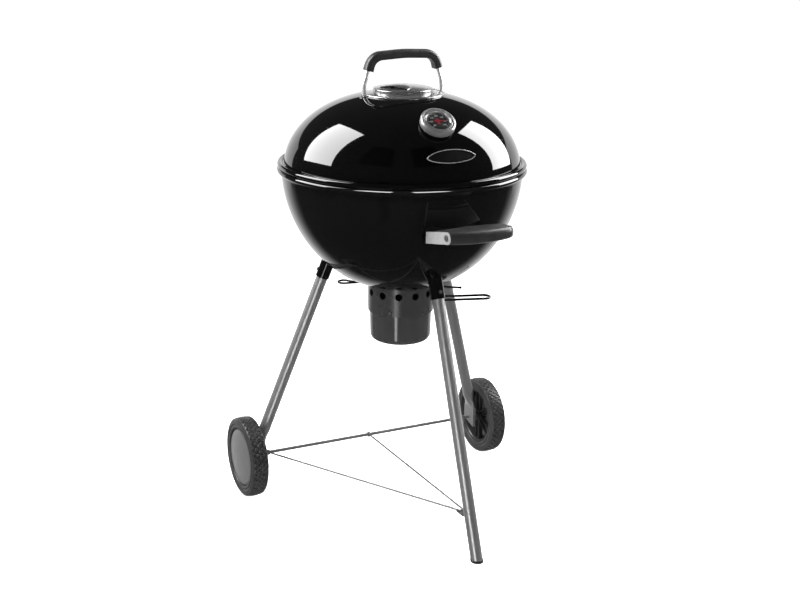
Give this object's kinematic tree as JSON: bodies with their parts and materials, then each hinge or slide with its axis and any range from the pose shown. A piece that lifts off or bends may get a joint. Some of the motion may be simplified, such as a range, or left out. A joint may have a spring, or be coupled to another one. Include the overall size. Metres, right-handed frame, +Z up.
{
  "type": "kettle charcoal grill",
  "caption": "Round covered charcoal grill on tubular legs with wheels, lid with vent and thermometer, ash catcher and side handle.",
  "frame": {"origin": "on the ground, at the middle of the whole outline; the kettle axis stands 61 mm behind it", "axes": "+Z up, front handle and front leg towards -Y, wheels on the X axis direction"},
  "size_m": [0.72, 0.7082, 1.1131],
  "materials": {
    "black_enamel": "gloss vitreous enamel",
    "badge_enamel": "satin enamel",
    "grey_enamel": "satin dark grey enamel",
    "grey_enamel_gloss": "gloss dark grey enamel",
    "satin_steel": "satin",
    "polished_steel": "polished",
    "chrome": "polished",
    "zinc_steel": "zinc plated",
    "satin_aluminium": "satin",
    "silver_paint": "silver hammered paint",
    "black_grip": "fine texture",
    "black_plastic": "moulded",
    "tyre": "ribbed rubber look",
    "wheel_plastic": "moulded",
    "hub_cap_plastic": "satin",
    "black_wire": "gloss paint",
    "dial": "printed dial",
    "clear_glass": "clear",
    "needle_paint": "red paint",
    "grate_wire": "plated wire"
  },
  "bodies": {
    "stand": {"ash_collar": "grey_enamel", "axle": "zinc_steel", "axle_nuts": "zinc_steel", "axle_spacers": "zinc_steel", "bowl": "black_enamel", "brace_clip": "zinc_steel", "brace_rod_left": "zinc_steel", "brace_rod_middle": "zinc_steel", "brace_rod_right": "zinc_steel", "charcoal_grate_tabs": "black_enamel", "cooking_grate_tabs": "black_enamel", "front_foot_cap": "black_plastic", "front_leg": "satin_aluminium", "handle_cheek_left": "silver_paint", "handle_cheek_right": "silver_paint", "handle_grip": "black_grip", "handle_heat_shield": "silver_paint", "handle_mount": "black_enamel", "handle_screws": "zinc_steel", "leg_socket_front": "black_enamel", "leg_socket_rear_left": "black_enamel", "leg_socket_rear_right": "black_enamel", "rear_leg_left": "satin_aluminium", "rear_leg_right": "satin_aluminium", "socket_screws": "zinc_steel"},
    "lid_body": {"lid": "black_enamel", "lid_badge": "badge_enamel", "lid_handle_rod": "satin_steel", "lid_handle_grip": "black_grip", "lid_handle_nuts": "zinc_steel", "vent_base": "chrome", "vent_rivet": "chrome", "thermometer_case": "polished_steel", "thermometer_dial": "dial", "thermometer_glass": "clear_glass", "thermometer_stem": "zinc_steel", "thermometer_nut": "zinc_steel"},
    "vent": {"vent_cap": "chrome"},
    "needle": {"thermometer_needle": "needle_paint"},
    "cooking_grate_body": {"cooking_grate": "grate_wire"},
    "charcoal_grate_body": {"charcoal_grate": "grate_wire"},
    "flap": {"outlet_flap": "grey_enamel", "flap_rod": "black_wire"},
    "air_slide": {"air_sleeve": "grey_enamel", "air_sleeve_lever": "black_wire"},
    "ash_pot_body": {"ash_pot": "grey_enamel_gloss", "ash_pot_pins": "zinc_steel"},
    "wheel_left": {"tyre_left": "tyre", "wheel_rim_left": "wheel_plastic", "hub_bush_left": "wheel_plastic", "hub_cap_left": "hub_cap_plastic"},
    "wheel_right": {"tyre_right": "tyre", "wheel_rim_right": "wheel_plastic", "hub_bush_right": "wheel_plastic", "hub_cap_right": "hub_cap_plastic"}
  },
  "joints": [
    {"name": "lid_lift", "type": "slide", "parent": "stand", "child": "lid_body", "axis": [0, 0, 1], "range_m": [0, 0.35]},
    {"name": "vent_turn", "type": "hinge", "parent": "lid_body", "child": "vent", "pos_m": [0, 0.06109, 1.03], "axis": [0, 0, 1], "range_deg": [0, 45]},
    {"name": "needle_turn", "type": "hinge", "parent": "lid_body", "child": "needle", "pos_m": [-0.01875, -0.14104, 0.9667], "axis": [-0.0526, -0.5671, 0.822], "range_deg": [-250, 0], "stiffness_Nm_per_rad": 0.0002},
    {"name": "cooking_grate_lift", "type": "slide", "parent": "stand", "child": "cooking_grate_body", "axis": [0, 0, 1], "range_m": [0, 0.06]},
    {"name": "charcoal_grate_lift", "type": "slide", "parent": "stand", "child": "charcoal_grate_body", "axis": [0, 0, 1], "range_m": [0, 0.09]},
    {"name": "flap_turn", "type": "hinge", "parent": "stand", "child": "flap", "pos_m": [0, 0.06109, 0.551], "axis": [0.8192, -0.5736, 0], "range_deg": [0, 90]},
    {"name": "air_slide_turn", "type": "hinge", "parent": "stand", "child": "air_slide", "pos_m": [0, 0.06109, 0.513], "axis": [0, 0, 1], "range_deg": [-15, 15]},
    {"name": "ash_pot_drop", "type": "slide", "parent": "stand", "child": "ash_pot_body", "axis": [0, 0, -1], "range_m": [0, 0.12]},
    {"name": "wheel_left_spin", "type": "hinge", "parent": "stand", "child": "wheel_left", "pos_m": [-0.336, 0.23488, 0.1], "axis": [1, 0, 0], "continuous": true},
    {"name": "wheel_right_spin", "type": "hinge", "parent": "stand", "child": "wheel_right", "pos_m": [0.336, 0.23488, 0.1], "axis": [1, 0, 0], "continuous": true}
  ]
}
